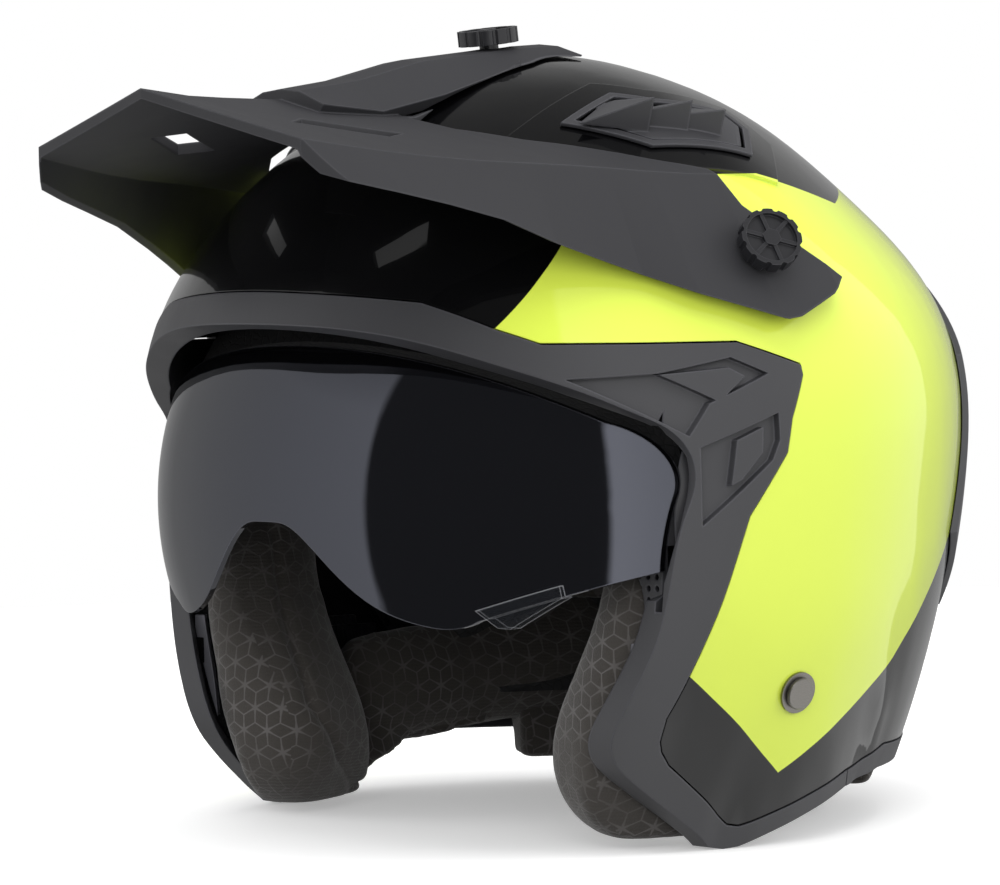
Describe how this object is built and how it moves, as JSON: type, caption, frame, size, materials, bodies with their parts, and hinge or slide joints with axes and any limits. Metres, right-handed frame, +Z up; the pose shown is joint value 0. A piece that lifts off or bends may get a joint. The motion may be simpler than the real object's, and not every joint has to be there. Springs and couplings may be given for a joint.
{
  "type": "dual sport helmet",
  "caption": "Open-face dual sport helmet with a screw-fixed peak, a swing-down smoke sun visor, sliding top vents and fabric cheek pads",
  "frame": {"origin": "on the ground plane under the middle of the helmet's whole length and width", "axes": "+Z up, +X to the wearer's left, -Y to the front, where the peak points"},
  "size_m": [0.2542, 0.3042, 0.2431],
  "materials": {
    "shell_gloss": "gloss fluorescent yellow and black lacquer",
    "trim": "semi-matt moulded black",
    "foam": "black expanded foam",
    "lining": "dark brushed fabric with cube lines",
    "peak_matte": "matt dark grey",
    "screw_plastic": "black knurled",
    "brass": "plain insert",
    "steel": "brushed",
    "webbing": "woven black",
    "red_plastic": "release lever",
    "grey_plastic": "moulded grey",
    "smoke": "smoke polycarbonate",
    "clear": "clear polycarbonate"
  },
  "bodies": {
    "helmet": {"outer_shell": "shell_gloss", "face_trim": "trim", "neck_trim": "trim", "rear_vent_cover": "trim", "eps_liner": "foam", "crown_liner": "lining", "peak_nuts": "brass", "left_vent_frame": "trim", "right_vent_frame": "trim", "left_strap_rivet": "steel", "right_strap_rivet": "steel", "strap_anchors": "steel", "left_chin_strap": "webbing", "right_chin_strap": "webbing", "buckle_body": "trim", "buckle_tongue": "trim", "left_cheek_pad": "lining", "right_cheek_pad": "lining", "left_cheek_block": "foam", "right_cheek_block": "foam", "left_chin_guard_receiver": "grey_plastic", "right_chin_guard_receiver": "grey_plastic", "left_ear_mesh": "trim", "right_ear_mesh": "trim", "neck_roll": "lining", "left_visor_pivot": "trim", "right_visor_pivot": "trim"},
    "peak_body": {"peak": "peak_matte"},
    "left_screw": {"left_peak_screw": "screw_plastic"},
    "right_screw": {"right_peak_screw": "screw_plastic"},
    "top_screw": {"top_peak_screw": "screw_plastic"},
    "left_vent": {"left_vent_slider": "trim"},
    "right_vent": {"right_vent_slider": "trim"},
    "visor": {"sun_visor": "smoke", "visor_tab": "clear", "left_visor_arm": "trim", "right_visor_arm": "trim"},
    "lever": {"buckle_lever": "red_plastic"}
  },
  "joints": [
    {"name": "visor_swing", "type": "hinge", "parent": "helmet", "child": "visor", "pos_m": [0, 0.00001, 0.09845], "axis": [-1, 0, 0], "range_deg": [0, 50]},
    {"name": "peak_tilt", "type": "hinge", "parent": "helmet", "child": "peak_body", "pos_m": [0, -0.01612, 0.17542], "axis": [1, 0, 0], "range_deg": [0, 4]},
    {"name": "left_screw_turn", "type": "hinge", "parent": "helmet", "child": "left_screw", "pos_m": [0.11547, -0.01612, 0.17542], "axis": [0.8009, -0.3704, 0.4705], "continuous": true},
    {"name": "right_screw_turn", "type": "hinge", "parent": "helmet", "child": "right_screw", "pos_m": [-0.11547, -0.01612, 0.17542], "axis": [-0.8009, -0.3704, 0.4705], "continuous": true},
    {"name": "top_screw_turn", "type": "hinge", "parent": "helmet", "child": "top_screw", "pos_m": [0, -0.01381, 0.23635], "axis": [0, -0.1219, 0.9925], "continuous": true},
    {"name": "left_vent_slide", "type": "slide", "parent": "helmet", "child": "left_vent", "axis": [0.0603, 0.9943, 0.0884], "range_m": [0, 0.008]},
    {"name": "right_vent_slide", "type": "slide", "parent": "helmet", "child": "right_vent", "axis": [-0.0603, 0.9943, 0.0884], "range_m": [0, 0.008]},
    {"name": "lever_flip", "type": "hinge", "parent": "helmet", "child": "lever", "pos_m": [0.0984, 0.0263, 0.047], "axis": [0, 0, -1], "range_deg": [0, 60]}
  ]
}
